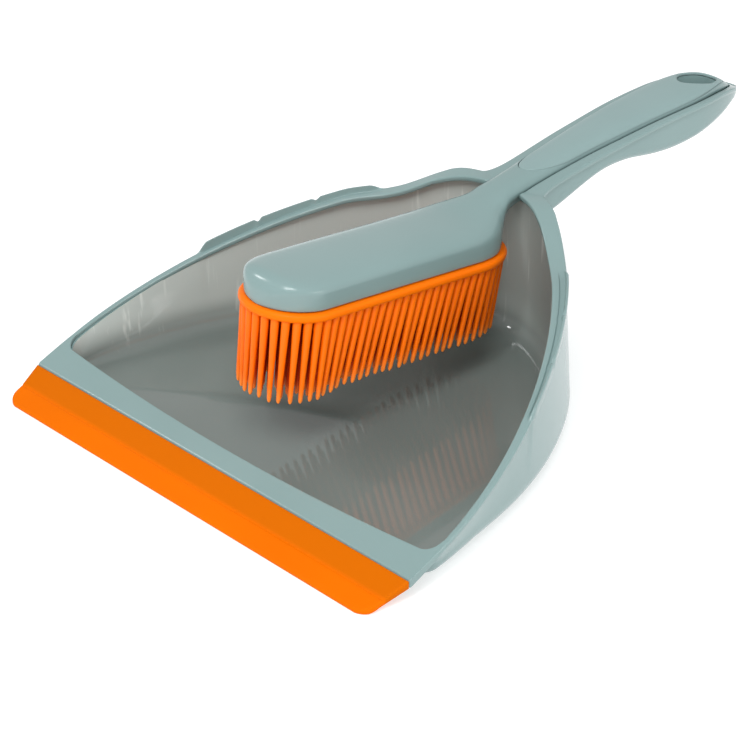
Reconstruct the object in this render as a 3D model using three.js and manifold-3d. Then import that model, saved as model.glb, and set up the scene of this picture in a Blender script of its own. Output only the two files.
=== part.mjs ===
// Dust pan and hand brush set: the brush hooks into the pan's hollow handle.
// Millimetres, +Z up. In the functions below y runs from the pan's front lip (y = 0) to the handle's tip;
// the exported group moves the origin to the middle of the footprint on the floor.
import * as THREE from "three";
import { mergeVertices } from "three/addons/utils/BufferGeometryUtils.js";
import Module from "manifold-3d";

const wasm = await Module();
wasm.setup();

// ---- Driving dimensions -------------------------------------------------------------------------
const TOTAL_LENGTH = 333;
const GAP = 0.3; // clearance between pieces that touch

// Pan: rim outline in plan, a straight front and a superellipse behind it
const PAN_HALF_WIDTH = 108.6;
const RIM_START_Y = 37.5; // where the outline is widest
const RIM_LENGTH = 153.4; // from there to the back of the rim
const RIM_POWER = 1.7;
const RIM_SLOPE = 0.373; // the rim rises towards the handle
const LIP_TOP_Z = 1.7;
const RIM_THICKNESS = 2.2;
const WALL = 2.3;
const FLOOR_Z = 3; // top of the scoop's floor
const BAND_FRONT_Y = 19.4; // grey band between the soft lip and the scoop
const BAND_Z = LIP_TOP_Z + RIM_SLOPE * BAND_FRONT_Y;
const SCOOP_FRONT_Y = 30;
const SCOOP_CORNER = 8.4;
const SCOOP_BOW = 4; // the scoop's front edge is this much further forward in its middle
const CORNER_END_Y = 38.5; // the scoop's front corners run into its sides here
const RAMP_THICKNESS = 3.6;
const LUG_START_Y = 97.5; // recessed ledge with a raised edge, in three lengths
const LUG_NOTCHES_Y = [120.5, 141.7];
const LUG_END_Y = 162;
const LUG_BULGE = 0.5; // the lugs stand out this far from the outline
const LUG_RECESS = 1; // depth of the ledge behind their raised edge

// Soft lip
const LIP_HALF_WIDTH = 105;
const LIP_CREASE_Y = 9;
const LIP_CREASE_Z = 4.3;
const LIP_CORNER = 7;
const TONGUE_FRONT_Y = 13.4;
const LIP_FOOT = 3; // the lip rests on the floor this far back

// Pan handle
const HANDLE_START_Y = 188.6; // within the scoop's back wall
const HANDLE_WALL = 2.1;
const FLANGE_OVERHANG = 1; // the handle's top edge stands out past its side walls
const SEAT_GAP = 0.7; // between the brush handle and the pan handle, each side
const SEAT_FRONT_Z = 66.3; // the seat's floor where the brush's neck enters it

// Brush head
const HEAD_HALF_WIDTH = 19.5;
const HEAD_FRONT_Y = 45;
const HEAD_BACK_Y = 150; // the head starts to narrow into the neck
const HEAD_BASE_Z = 66.6; // underside of the head at HEAD_REF_Y
const HEAD_REF_Y = 70;
const HEAD_SLOPE = -0.125; // the front of the head is lifted
const FLANGE_HALF_WIDTH = 21.7;
const FLANGE_THICKNESS = 3.6;
const FLANGE_END_Y = 177;

// Brush handle and the hanging hole through both handles
const BRUSH_END_Y = 325.8;
const NECK_HALF_WIDTH = 8;
const GRIP_HALF_WIDTH = 12.4;
const GRIP_START_Y = 192;
const GRIP_ROUNDING = 13; // length of the cover's rounded front
const GRIP_BORDER = 1.1; // handle left showing beside the front of the cover
const GRIP_EDGE = 0.4; // the same further back
const GRIP_END_Y = 322.3;
const GRIP_THICKNESS = 1.6;
const HOLE_Y = 305;
const HOLE_HALF_LENGTH = 11.2;
const HOLE_HALF_WIDTH = 7.6;

// Bristles
const BRISTLE_DROP = 35.2; // how far the tips hang below the head's underside
const BRISTLE_EXTRA = 3.5; // the front ones hang lower by this much
const BRISTLE_DEPTH = 2.8; // how far their roots reach into the flange
const BRISTLE_PITCH = 4.3;
const BRISTLE_INSET = 2.6; // from the flange's edge to the outer ring of bristles
const BRISTLE_ROOT_R = 1.8;
const BRISTLE_TIP_R = 0.85;
const BRISTLE_RINGS = 5;
const BRISTLE_LEAN = 0.166; // forward lean of the middle ones, as a share of their length

// ---- Helpers ------------------------------------------------------------------------------------
const clamp01 = (t) => Math.min(1, Math.max(0, t));
const lerp = (a, b, t) => a + (b - a) * t;
const ease = (a, b, t) => {
  const s = clamp01((t - a) / (b - a));
  return s * s * (3 - 2 * s);
};
const range = (n, f) => Array.from({ length: n }, (_, i) => f(i));

// Closed solid from rings with the same number of points, capped with fans round their centres.
function loft(rings) {
  const count = rings[0].length;
  const points = rings.flat();
  const faces = [];
  for (let r = 0; r + 1 < rings.length; r++)
    for (let i = 0; i < count; i++) {
      const j = (i + 1) % count;
      const [a, b] = [r * count + i, r * count + j];
      faces.push(a, b, b + count, a, b + count, a + count);
    }
  const cap = (ring, base, turned) => {
    const centre = ring.reduce((s, p) => s.add(p), new THREE.Vector3()).divideScalar(count);
    points.push(centre);
    for (let i = 0; i < count; i++) {
      const [a, b] = [base + i, base + ((i + 1) % count)];
      faces.push(points.length - 1, ...(turned ? [b, a] : [a, b]));
    }
  };
  cap(rings[0], 0, true);
  cap(rings.at(-1), (rings.length - 1) * count, false);
  const geometry = new THREE.BufferGeometry().setFromPoints(points);
  geometry.setIndex(faces);
  return geometry;
}

function solid(geometry) {
  const bare = geometry.clone();
  bare.deleteAttribute("normal");
  bare.deleteAttribute("uv");
  const merged = mergeVertices(bare, 1e-4);
  const mesh = new wasm.Mesh({
    numProp: 3,
    vertProperties: Float32Array.from(merged.attributes.position.array),
    triVerts: Uint32Array.from(merged.index.array),
  });
  const made = new wasm.Manifold(mesh);
  if (made.volume() > 0) return made;
  // Faces point inwards: turn each one round.
  for (let i = 0; i < mesh.triVerts.length; i += 3)
    [mesh.triVerts[i + 1], mesh.triVerts[i + 2]] = [mesh.triVerts[i + 2], mesh.triVerts[i + 1]];
  return new wasm.Manifold(mesh);
}

function geometryOf(manifold) {
  const mesh = manifold.getMesh();
  const geometry = new THREE.BufferGeometry();
  geometry.setAttribute("position", new THREE.BufferAttribute(mesh.vertProperties, 3));
  geometry.setIndex(new THREE.BufferAttribute(mesh.triVerts, 1));
  geometry.computeVertexNormals();
  return geometry;
}

// Upright prism over a plan outline.
function prism(outline, low, high) {
  const shape = new THREE.Shape(outline);
  const geometry = new THREE.ExtrudeGeometry(shape, { depth: high - low, bevelEnabled: false });
  return solid(geometry.translate(0, 0, low));
}

// Smooth curve through a few [y, value] points, held level outside them.
function through(...knots) {
  const slope = (i) => {
    const [a, b] = [knots[Math.max(0, i - 1)], knots[Math.min(knots.length - 1, i + 1)]];
    return (b[1] - a[1]) / (b[0] - a[0]);
  };
  return (y) => {
    const last = knots.length - 1;
    if (y <= knots[0][0]) return knots[0][1];
    if (y >= knots[last][0]) return knots[last][1];
    const i = knots.findIndex((k) => k[0] > y) - 1;
    const width = knots[i + 1][0] - knots[i][0];
    const t = (y - knots[i][0]) / width;
    const [h1, h2] = [t * t * (3 - 2 * t), t * (1 - t) * (1 - t) * width];
    return lerp(knots[i][1], knots[i + 1][1], h1) + h2 * slope(i) - t * t * (1 - t) * width * slope(i + 1);
  };
}

// Rounded end of a long outline: 1 along its length, falling to 0 at end over the given length.
const nose = (y, end, length, power = 2.2) =>
  (1 - clamp01((y - end + length) / length) ** power) ** (1 / power);

// ---- Pan: scoop, rim and ramp -------------------------------------------------------------------
// The rim climbs evenly, dips a little, and then swells up to meet the handle's flange.
const shoulder = (y) => -2.3 * ease(150, 166, y) + 6 * ease(167, 187, y);
const rimZ = (y) => lerp(LIP_TOP_Z + RIM_SLOPE * y + shoulder(y), seamZ(y), ease(180, 189, y));
const rimWidth = (y) => 2.3 + 5.6 * Math.max(0, (y - 35) / 150) ** 1.6;
const lug = (y) => ease(LUG_START_Y - 2, LUG_START_Y + 3, y) * (1 - ease(LUG_END_Y - 3, LUG_END_Y + 2, y));
const lugRise = (y) => lerp(3.2, 2, ease(100, 160, y)) * lug(y);
const coveRadius = (y) => Math.max(5, Math.min(9.5, 0.38 * rimZ(y)));
const wallTopInset = (y) => 0.8 - LUG_BULGE * lug(y);
// Below the rim the wall leans in at the front of the pan and bulges out at its back.
const coveTopInset = through([38, 4], [55, 3.9], [72, 3.2], [90, 1.7], [109, 0.1], [133, -1.6],
  [150, -2.7], [168, -2.7], [180, -0.5], [191, 0]);

// Right half of the rim's outline behind its straight front part, as plan points with outward normals.
function rimStations(steps) {
  const at = (t) => [
    PAN_HALF_WIDTH * Math.max(0, Math.cos(t)) ** (2 / RIM_POWER),
    RIM_START_Y + RIM_LENGTH * Math.sin(t) ** (2 / RIM_POWER),
  ];
  const stations = range(steps, (i) => {
    const t = lerp(0.02, Math.PI / 2, i / steps);
    const [[ax, ay], [bx, by]] = [at(t - 0.01), at(t + 0.01)];
    const length = Math.hypot(bx - ax, by - ay);
    const [x, y] = at(t);
    return { x, y, nx: (by - ay) / length, ny: (ax - bx) / length };
  });
  return [...stations, { x: 0, y: RIM_START_Y + RIM_LENGTH, nx: 0, ny: 1 }];
}
const stations = rimStations(26);

// One ring round the pan at a given inset from the outer outline. Its front is a bowed edge near frontY
// with rounded corners.
function panRing(inset, z, frontY, outerCorner, bow = SCOOP_BOW) {
  const sideX = PAN_HALF_WIDTH - inset(frontY + outerCorner);
  const corner = outerCorner - bow / 2;
  const half = [0, 0.25, 0.5, 0.75].map((share) => {
    const y = frontY + bow * (share ** 2 - 0.5);
    return { x: share * (sideX - corner), y, at: y };
  });
  for (const turn of range(6, (i) => (i / 5) * (Math.PI / 2))) {
    const y = frontY + bow / 2 + corner * (1 - Math.cos(turn));
    half.push({ x: sideX - corner * (1 - Math.sin(turn)), y, at: y });
  }
  for (const { x, y, nx, ny } of stations)
    half.push({ x: x - inset(y) * nx, y: y - inset(y) * ny, at: y });
  const other = half.slice(1, -1).reverse().map((p) => ({ ...p, x: -p.x }));
  return [...half, ...other].map((p) => new THREE.Vector3(p.x, p.y, z(p.at)));
}

function scoop() {
  const cove = (turn, extra, floorZ, frontY) => {
    const radius = (y) => coveRadius(y) - extra;
    return panRing(
      (y) => coveTopInset(y) + extra + radius(y) * (1 - Math.cos(turn)),
      (y) => floorZ + radius(y) * (1 - Math.sin(turn)),
      frontY + 4 * (1 - Math.cos(turn)),
      CORNER_END_Y - frontY - 4 * (1 - Math.cos(turn)),
    );
  };
  const turns = range(4, (i) => (i / 3) * (Math.PI / 2));
  const outerWall = turns.toReversed().map((turn) => cove(turn, 0, 0, SCOOP_FRONT_Y - WALL + 1));
  const innerWall = turns.map((turn) => cove(turn, WALL, FLOOR_Z, SCOOP_FRONT_Y + 1));
  // A line along the rim, share of the way from its outer to its inner edge.
  const rimLine = (share, lift) =>
    panRing(
      (y) => rimWidth(y) * share - LUG_BULGE * lug(y) * (1 - share),
      (y) => rimZ(y) + lift(y),
      lerp(BAND_FRONT_Y, SCOOP_FRONT_Y, share),
      lerp(0.5, SCOOP_CORNER, share),
      SCOOP_BOW * share,
    );
  const thickness = (y) => lerp(RAMP_THICKNESS, RIM_THICKNESS, ease(20, 45, y));
  const ledge = (y) => -LUG_RECESS * lug(y);
  const level = () => 0;
  const under = (share) => rimLine(share, (y) => -thickness(y));
  const wallTop = (extra, frontY) =>
    panRing(
      (y) => wallTopInset(y) + extra,
      (y) => rimZ(y) - thickness(y) - 0.1,
      frontY,
      CORNER_END_Y - frontY,
    );
  return solid(
    loft([
      ...outerWall,
      wallTop(0, SCOOP_FRONT_Y - WALL),
      under(0),
      rimLine(0, lugRise),
      rimLine(0.14, lugRise),
      rimLine(0.2, ledge),
      rimLine(0.56, ledge),
      rimLine(0.62, level),
      rimLine(1, level),
      under(1),
      wallTop(WALL, SCOOP_FRONT_Y + 0.1),
      ...innerWall,
    ]),
  );
}

// Gaps that divide the raised edge of the lugs into three lengths.
function lugNotches() {
  const cuts = [];
  for (const y of LUG_NOTCHES_Y) {
    const { x } = stations.reduce((a, b) => (Math.abs(a.y - y) < Math.abs(b.y - y) ? a : b));
    for (const sign of [-1, 1]) {
      const cut = new THREE.BoxGeometry(12, 2.6, 7);
      cut.rotateZ(sign * 0.75).translate(sign * (x + 2), y, rimZ(y) + 3);
      cuts.push(solid(cut));
    }
  }
  return wasm.Manifold.union(cuts);
}

// Extrusion across the pan of a profile given as [y, z] points.
function acrossPan(profile, halfWidth) {
  const shape = new THREE.Shape(profile.map(([y, z]) => new THREE.Vector2(y, z)));
  const geometry = new THREE.ExtrudeGeometry(shape, { depth: 2 * halfWidth, bevelEnabled: false });
  // The shape's x becomes the part's y, its y becomes z, and the extrusion runs along x.
  geometry.applyMatrix4(new THREE.Matrix4().makeBasis(
    new THREE.Vector3(0, 1, 0), new THREE.Vector3(0, 0, 1), new THREE.Vector3(1, 0, 0)));
  return solid(geometry.translate(-halfWidth, 0, 0));
}

const lipUnder = (y) => lerp(0, BAND_Z - RAMP_THICKNESS, (y - LIP_FOOT) / (BAND_FRONT_Y - LIP_FOOT));
const lipTop = (y) => lerp(LIP_CREASE_Z, BAND_Z, (y - LIP_CREASE_Y) / (BAND_FRONT_Y - LIP_CREASE_Y));
const LIP_SKIN = 1; // soft material above and below the tongue

// Thin tongue along the pan's front edge that the lip is moulded onto.
function tongue() {
  const back = BAND_FRONT_Y + 0.5;
  const profile = [
    [TONGUE_FRONT_Y, lipUnder(TONGUE_FRONT_Y) + LIP_SKIN + GAP],
    [back, lipUnder(back) + LIP_SKIN + GAP],
    [back, lipTop(back) - LIP_SKIN - GAP],
    [TONGUE_FRONT_Y, lipTop(TONGUE_FRONT_Y) - LIP_SKIN - GAP],
  ];
  return acrossPan(profile, PAN_HALF_WIDTH - 4);
}

function panLip() {
  const back = BAND_FRONT_Y - GAP;
  const slotFront = TONGUE_FRONT_Y - GAP;
  const profile = [
    [0, 0],
    [LIP_FOOT, 0],
    [back, lipUnder(back)],
    [back, lipUnder(back) + LIP_SKIN],
    [slotFront, lipUnder(slotFront) + LIP_SKIN],
    [slotFront, lipTop(slotFront) - LIP_SKIN],
    [back, lipTop(back) - LIP_SKIN],
    [back, lipTop(back)],
    [LIP_CREASE_Y, LIP_CREASE_Z],
    [0.5, LIP_TOP_Z - 0.1],
    [0, LIP_TOP_Z - 0.7],
  ];
  const corner = (sign, turns) =>
    turns.map((turn) => new THREE.Vector2(
      sign * (LIP_HALF_WIDTH + 0.7 - LIP_CORNER * (1 - Math.sin(turn))),
      LIP_CORNER * (1 - Math.cos(turn)),
    ));
  const turns = range(6, (i) => (i / 5) * (Math.PI / 2));
  const outline = [
    ...corner(1, turns),
    new THREE.Vector2(PAN_HALF_WIDTH, BAND_FRONT_Y + 1),
    new THREE.Vector2(-PAN_HALF_WIDTH, BAND_FRONT_Y + 1),
    ...corner(-1, turns.toReversed()),
  ];
  return acrossPan(profile, PAN_HALF_WIDTH + 1).intersect(prism(outline, -1, 20));
}

// ---- Both handles -------------------------------------------------------------------------------
// The seam is the top edge of the pan handle's walls; both handles arch down towards their tip.
const seamZ = through([172, 69.3], [187, 72.3], [207, 75.2], [226, 77.6], [243, 79.2], [262, 80.8],
  [280, 81.4], [297, 81.3], [311, 80.2], [322, 77.6], [333, 73]);
const panUnderZ = through([168, 54], [186, 57], [201, 60], [227, 67.7], [243, 68.5], [262, 65.6], [274, 64.5],
  [286, 64.7], [299, 66], [312, 67.7], [333, 70.6]);
const brushHalfWidth = (y) => lerp(NECK_HALF_WIDTH, GRIP_HALF_WIDTH, ease(185, 285, y));
const hole = () => {
  const outline = range(24, (i) => {
    const turn = (i / 24) * 2 * Math.PI;
    return new THREE.Vector2(
      HOLE_HALF_WIDTH * Math.sign(Math.cos(turn)) * Math.abs(Math.cos(turn)) ** 1.15,
      HOLE_Y + HOLE_HALF_LENGTH * Math.sign(Math.sin(turn)) * Math.abs(Math.sin(turn)) ** 1.15,
    );
  });
  return prism(outline, 40, 100);
};

// Cross-section of a trough at y: a box with rounded lower corners.
function troughRing(y, halfWidth, low, high, largestRadius) {
  const radius = Math.min(largestRadius, 0.6 * halfWidth, 0.45 * (high - low));
  const right = [[halfWidth, high], [halfWidth, (low + high) / 2]];
  for (const turn of [0, 0.4, 0.8, 1.2, Math.PI / 2])
    right.push([halfWidth - radius * (1 - Math.cos(turn)), low + radius * (1 - Math.sin(turn))]);
  const left = right.toReversed().map(([x, z]) => [-x, z]);
  return [...right, ...left].map(([x, z]) => new THREE.Vector3(x, y, z));
}

const handleYs = (start, end, noseLength) => [
  ...range(13, (i) => lerp(start, end - noseLength, i / 12)),
  ...range(7, (i) => end - noseLength + noseLength * Math.sin(((i + 1) / 7.25) * (Math.PI / 2))),
];

const flare = (y) => 14.5 * Math.exp(-Math.max(0, y - 181) / 4.6);
const brushNose = (y, spare) => nose(y, BRUSH_END_Y + spare, 40, 1.8);
const seatHalfWidth = (y) => (brushHalfWidth(y) + SEAT_GAP) * brushNose(y, 1.2);

function panHandle() {
  const flangeHalf = (y) =>
    (brushHalfWidth(y) + SEAT_GAP + lerp(5, 2.9, ease(195, 285, y))) * nose(y, TOTAL_LENGTH, 45, 1.7);
  const ys = handleYs(203, TOTAL_LENGTH, 45);
  const flange = [...range(8, (i) => lerp(182.5, 197, i / 7)), ...ys].map((y) => {
    const [x, low, high] = [flangeHalf(y) + flare(y), seamZ(y) - RIM_THICKNESS, seamZ(y)];
    return [[x, high], [x, low], [-x, low], [-x, high]].map(([px, z]) => new THREE.Vector3(px, y, z));
  });
  const trough = [HANDLE_START_Y, 195, ...ys].map((y) => {
    const half = Math.max(0.3, flangeHalf(y) - FLANGE_OVERHANG);
    return troughRing(y, half, panUnderZ(y), seamZ(y) - 1, 4);
  });
  return solid(loft(trough)).add(solid(loft(flange)));
}

// The seat that the brush handle drops into, open at the top and through the back of the scoop.
function handleSeat() {
  const floor = (y) => lerp(SEAT_FRONT_Z, panUnderZ(y) + HANDLE_WALL, ease(190, 200, y));
  const ys = [166, 178, 190, 193.5, 197, ...handleYs(201, BRUSH_END_Y + 1.2, 40)];
  const rings = ys.map((y) => troughRing(y, Math.max(0.4, seatHalfWidth(y)), floor(y), seamZ(y) + 30, 3));
  return solid(loft(rings));
}

function panBody() {
  return scoop()
    .subtract(lugNotches())
    .add(tongue())
    .add(panHandle())
    .subtract(handleSeat())
    .subtract(hole());
}

// ---- Brush --------------------------------------------------------------------------------------
const headPlane = (y) => HEAD_BASE_Z + HEAD_SLOPE * (y - HEAD_REF_Y);
const crownZ = through([60, 80.3], [84, 77.8], [111, 74.6], [136, 71.8], [152, 70.7], [166, 72.4],
  [180, 75.6], [195, 77.9], [212, 80.3], [232, 82.6], [248, 84], [265, 85], [281, 85.7], [294, 86.2],
  [304, 85.8], [312, 84], [320, 79.8], [325.8, 75.2]);
const neckUnderZ = through([168, headPlane(168)], [171, 57], [174, 62.5], [178, 66], [200, 68.6], [230, 71.5],
  [260, 74], [290, 74.8], [308, 74.5], [320, 74], [325.8, 73.6]);
const headHalfWidth = through([HEAD_BACK_Y, HEAD_HALF_WIDTH], [157, 18.4], [163, 16], [168, 12.8],
  [172, 10.2], [177, 8.4], [182, NECK_HALF_WIDTH]);

function brushRing(y) {
  const fromFront = y - HEAD_FRONT_Y;
  const rounding = fromFront < 9 ? (1 - (1 - fromFront / 9) ** 2.4) ** (1 / 2.4) : 1;
  const front = fromFront < HEAD_HALF_WIDTH
    ? Math.sqrt(HEAD_HALF_WIDTH ** 2 - (HEAD_HALF_WIDTH - fromFront) ** 2) : HEAD_HALF_WIDTH;
  const behind = y < 182 ? headHalfWidth(y) : brushHalfWidth(y);
  const width = y < HEAD_BACK_Y ? front : behind * brushNose(y, 0);
  const headShare = 1 - ease(160, 185, y);
  const low = y < 168 ? headPlane(y) : neckUnderZ(y);
  const crown = y < 60 ? headPlane(y) + (crownZ(60) - headPlane(60)) * rounding : crownZ(y);
  const shoulderZ = lerp(seamZ(y) - 0.5, low + 7 * rounding, headShare);
  const lowHalf = width * lerp(0.82, 1, headShare);
  const right = [[lowHalf, low], [width, shoulderZ]];
  for (const turn of [0.25, 0.5, 0.75, 1, 1.28])
    right.push([width * Math.cos(turn) ** 0.83, shoulderZ + (crown - shoulderZ) * Math.sin(turn) ** 0.83]);
  const left = right.toReversed().map(([x, z]) => [-x, z]);
  return [...right, [0, crown], ...left, [0, low]].map(([x, z]) => new THREE.Vector3(x, y, z));
}

function brushSolid() {
  const ys = [
    ...range(9, (i) => HEAD_FRONT_Y + 19.5 * (1 - Math.cos(((i + 0.25) / 8.25) * (Math.PI / 2)))),
    ...range(5, (i) => lerp(74, 140, i / 4)),
    ...range(8, (i) => lerp(150, 168, i / 7)),
    ...range(7, (i) => lerp(171, 200, i / 6)),
    ...handleYs(212, BRUSH_END_Y, 40),
  ];
  return solid(loft(ys.map(brushRing)));
}

// Plan outline of the head at a half width, in the head's own tilted plane.
function headOutline(halfWidth) {
  const spare = FLANGE_HALF_WIDTH - halfWidth;
  const centre = HEAD_FRONT_Y + HEAD_HALF_WIDTH;
  const [backStart, backEnd] = [HEAD_BACK_Y, FLANGE_END_Y - spare];
  const front = range(17, (i) => {
    const turn = Math.PI + (i / 16) * Math.PI;
    return [halfWidth * Math.cos(turn), centre + halfWidth * Math.sin(turn)];
  });
  const back = range(13, (i) => {
    const turn = (i / 12) * Math.PI;
    const [c, s] = [Math.cos(turn), Math.sin(turn)];
    return [halfWidth * c, backStart + (backEnd - backStart) * s];
  });
  return [...front, ...back].map(([x, y]) => new THREE.Vector2(x, y - HEAD_REF_Y));
}

// From the head's own plane to the part's frame.
const placeHead = new THREE.Matrix4()
  .makeTranslation(0, HEAD_REF_Y, HEAD_BASE_Z)
  .multiply(new THREE.Matrix4().makeRotationX(Math.atan(HEAD_SLOPE)));
const inHead = (geometry) => solid(geometry.applyMatrix4(placeHead));
function headSlab(halfWidth, low, high) {
  const shape = new THREE.Shape(headOutline(halfWidth));
  const geometry = new THREE.ExtrudeGeometry(shape, { depth: high - low, bevelEnabled: false });
  return inHead(geometry.translate(0, 0, low));
}

// Plan outline of the soft cover: rounded at its front, soon reaching the handle's edge, with a rounded tip.
function gripOutline(spare) {
  const front = GRIP_START_Y + spare;
  const ys = [
    ...range(7, (i) => front + GRIP_ROUNDING * (1 - Math.cos((i / 6) * (Math.PI / 2)))),
    ...range(9, (i) => lerp(front + 25, GRIP_END_Y - spare - 4, i / 8)),
  ];
  const right = ys.map((y) => {
    const roundFront = Math.sqrt(1 - (1 - clamp01((y - front) / GRIP_ROUNDING)) ** 2);
    const border = lerp(GRIP_BORDER, GRIP_EDGE, ease(200, 212, y));
    const half = (brushHalfWidth(y) - border - spare) * roundFront;
    return new THREE.Vector2(half * nose(y, GRIP_END_Y - spare, 36, 1.8), y);
  });
  const tip = new THREE.Vector2(0, GRIP_END_Y - spare);
  const left = right.slice(1).toReversed().map((p) => new THREE.Vector2(-p.x, p.y));
  return [...right, tip, ...left];
}
const full = brushSolid();

function brushBody() {
  const pocket = prism(gripOutline(0), 40, 100).subtract(full.translate(0, 0, -GRIP_THICKNESS));
  const hollow = headSlab(HEAD_HALF_WIDTH - WALL, -1, 7.5);
  return full.subtract(pocket).subtract(hollow).subtract(hole());
}

function brushGrip() {
  const outline = prism(gripOutline(GAP), 40, 100);
  return full.intersect(outline).subtract(full.translate(0, 0, GAP - GRIP_THICKNESS)).subtract(hole());
}

// Roots in rings that follow the flange's outline, evenly spaced along it.
function bristleRoots() {
  const roots = [];
  for (let ring = 0; ring < BRISTLE_RINGS; ring++) {
    const outline = headOutline(FLANGE_HALF_WIDTH - BRISTLE_INSET - ring * BRISTLE_PITCH);
    const path = new THREE.Path([...outline, outline[0]]);
    const count = Math.round(path.getLength() / BRISTLE_PITCH);
    for (let i = 0; i < count; i++) roots.push(path.getPointAt((i + 0.5 * (ring % 2)) / count));
  }
  return roots;
}

function bristle({ x, y }) {
  const fromLip = y + HEAD_REF_Y;
  const foot = -GAP - FLANGE_THICKNESS;
  const length = BRISTLE_DROP + BRISTLE_EXTRA * (1 - ease(52, 85, fromLip)) + foot + BRISTLE_DEPTH;
  const lean = BRISTLE_LEAN * ease(48, 88, fromLip) * (1 - 0.7 * ease(148, 170, fromLip));
  const rod = new THREE.CylinderGeometry(BRISTLE_ROOT_R, BRISTLE_TIP_R, length, 4);
  rod.rotateX(Math.PI / 2).translate(0, 0, BRISTLE_DEPTH - length / 2);
  rod.applyMatrix4(new THREE.Matrix4().makeShear(0, 0, 0, 0, 0, lean));
  return inHead(rod.translate(x, y, foot));
}

function bristleBlock() {
  const flange = headSlab(FLANGE_HALF_WIDTH, -GAP - FLANGE_THICKNESS, -GAP);
  const plug = headSlab(HEAD_HALF_WIDTH - WALL - GAP, -1, 4);
  return wasm.Manifold.union([flange, plug, ...bristleRoots().map(bristle)]);
}

// ---- Assembly -----------------------------------------------------------------------------------
const plastic = () => new THREE.MeshStandardMaterial({ color: 0x9db4b2, roughness: 0.35, metalness: 0 });
const softGrip = () => new THREE.MeshStandardMaterial({ color: 0x93abab, roughness: 0.6, metalness: 0 });
const softOrange = () => new THREE.MeshStandardMaterial({ color: 0xff7410, roughness: 0.5, metalness: 0 });

function part(name, manifold, material) {
  const mesh = new THREE.Mesh(geometryOf(manifold), material);
  mesh.name = name;
  return mesh;
}

const pan = new THREE.Group();
pan.add(part("pan_body", panBody(), plastic()));
pan.add(part("pan_lip", panLip(), softOrange()));

const brush = new THREE.Group();
brush.add(part("brush_body", brushBody(), plastic()));
brush.add(part("brush_grip", brushGrip(), softGrip()));
brush.add(part("bristle_block", bristleBlock(), softOrange()));

const dustPanAndBrush = new THREE.Group();
dustPanAndBrush.add(pan, brush);
dustPanAndBrush.position.y = -TOTAL_LENGTH / 2;

export default dustPanAndBrush;
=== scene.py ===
"""Dust pan and hand brush: the looks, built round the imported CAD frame.

Shapes are worked out in millimetres, with y counted from the pan's front lip towards the handle's tip,
and are turned into the frame's metres only when a mesh is made.
"""
import math

import bmesh
import bpy
import numpy as np
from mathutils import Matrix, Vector


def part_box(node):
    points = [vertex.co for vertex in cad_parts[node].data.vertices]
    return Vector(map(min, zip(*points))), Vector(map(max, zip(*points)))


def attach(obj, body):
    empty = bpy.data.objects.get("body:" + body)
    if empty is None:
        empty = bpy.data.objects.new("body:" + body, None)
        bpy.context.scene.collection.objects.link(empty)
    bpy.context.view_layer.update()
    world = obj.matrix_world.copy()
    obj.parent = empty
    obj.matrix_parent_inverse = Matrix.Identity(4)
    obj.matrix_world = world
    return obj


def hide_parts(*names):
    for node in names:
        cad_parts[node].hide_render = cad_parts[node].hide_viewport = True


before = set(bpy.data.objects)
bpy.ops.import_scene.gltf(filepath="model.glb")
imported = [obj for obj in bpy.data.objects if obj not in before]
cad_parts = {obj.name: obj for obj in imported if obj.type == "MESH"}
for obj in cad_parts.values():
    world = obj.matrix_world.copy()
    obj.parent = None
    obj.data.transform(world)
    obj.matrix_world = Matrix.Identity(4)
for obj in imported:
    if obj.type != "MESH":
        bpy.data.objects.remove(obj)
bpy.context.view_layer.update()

MM = 0.001
LIP_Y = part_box("pan_lip")[0].y  # the lip's front edge in the frame, where y is 0 below

# ---- Sizes, in millimetres ----
TOTAL_LENGTH = (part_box("pan_body")[1].y - LIP_Y) / MM
WALL = 2.3
GAP = 0.3  # between pieces that are let into each other

# Rim
PAN_HALF_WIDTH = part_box("pan_body")[1].x / MM
RIM_START_Y = 37.5
RIM_LENGTH = 153.4
RIM_POWER = 1.7
RIM_SLOPE = 0.373
RIM_THICKNESS = 2.2
RIM_FRONT_WIDTH = 2.3
RIM_WIDENING = 5.6  # added to the width over 150 mm of the pan's length
RIM_DIP = 2.3  # just in front of the shoulder
RIM_SWELL = 6.0  # up into the shoulder
RIM_EDGE_R = 0.9
RIM_BROW_R = 0.7  # the rim's inner edge
SHOULDER_Y = 178.0  # from here the rim turns into the handle's flange
SHOULDER_SOFTNESS = 1.4

# Lugs: a fin along the rim's outer edge, in three lengths, with a ledge behind it
LUG_START_Y = 97.5
LUG_END_Y = 162.0
LUG_NOTCHES_Y = (120.5, 141.7)
NOTCH_HALF_WIDTH = 1.5
LUG_BULGE = 0.5
LUG_RECESS = 0.6
LUG_FRONT_RISE = 3.2
LUG_BACK_RISE = 2.0
FIN_WIDTH = 0.8
FIN_FOOT_WIDTH = 1.4
LEDGE_SHARE = 0.58  # of the rim's width
LEDGE_EDGE = 0.5
NOTCH_DEPTH = 0.45  # as a share of the fin's height
NOTCH_BULGE_LOSS = 0.9

# Front band and scoop
LIP_TOP_Z = 1.7
BAND_FRONT_Y = 19.4
BAND_Z = LIP_TOP_Z + RIM_SLOPE * BAND_FRONT_Y
BAND_CORNER = 0.5
RAMP_THICKNESS = 3.6
SCOOP_FRONT_Y = 30.0
SCOOP_CORNER = 8.4
SCOOP_BOW = 4.0  # the scoop's front edge is this much further forward in its middle
SCOOP_MIDDLE_Y = 105.0
CORNER_END_Y = 38.5
FLOOR_Z = 3.0
FLOOR_INSET = 4.0  # the floor's front edge stands back this far from the scoop's
WALL_TOP_INSET = 0.8
WALL_BURIED = 0.6  # the walls run up into the rim this far
COVE_SHARE = 0.38  # the coves' radius, as a share of the rim's height
COVE_R_LIMITS = (5.0, 9.5)

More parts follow.
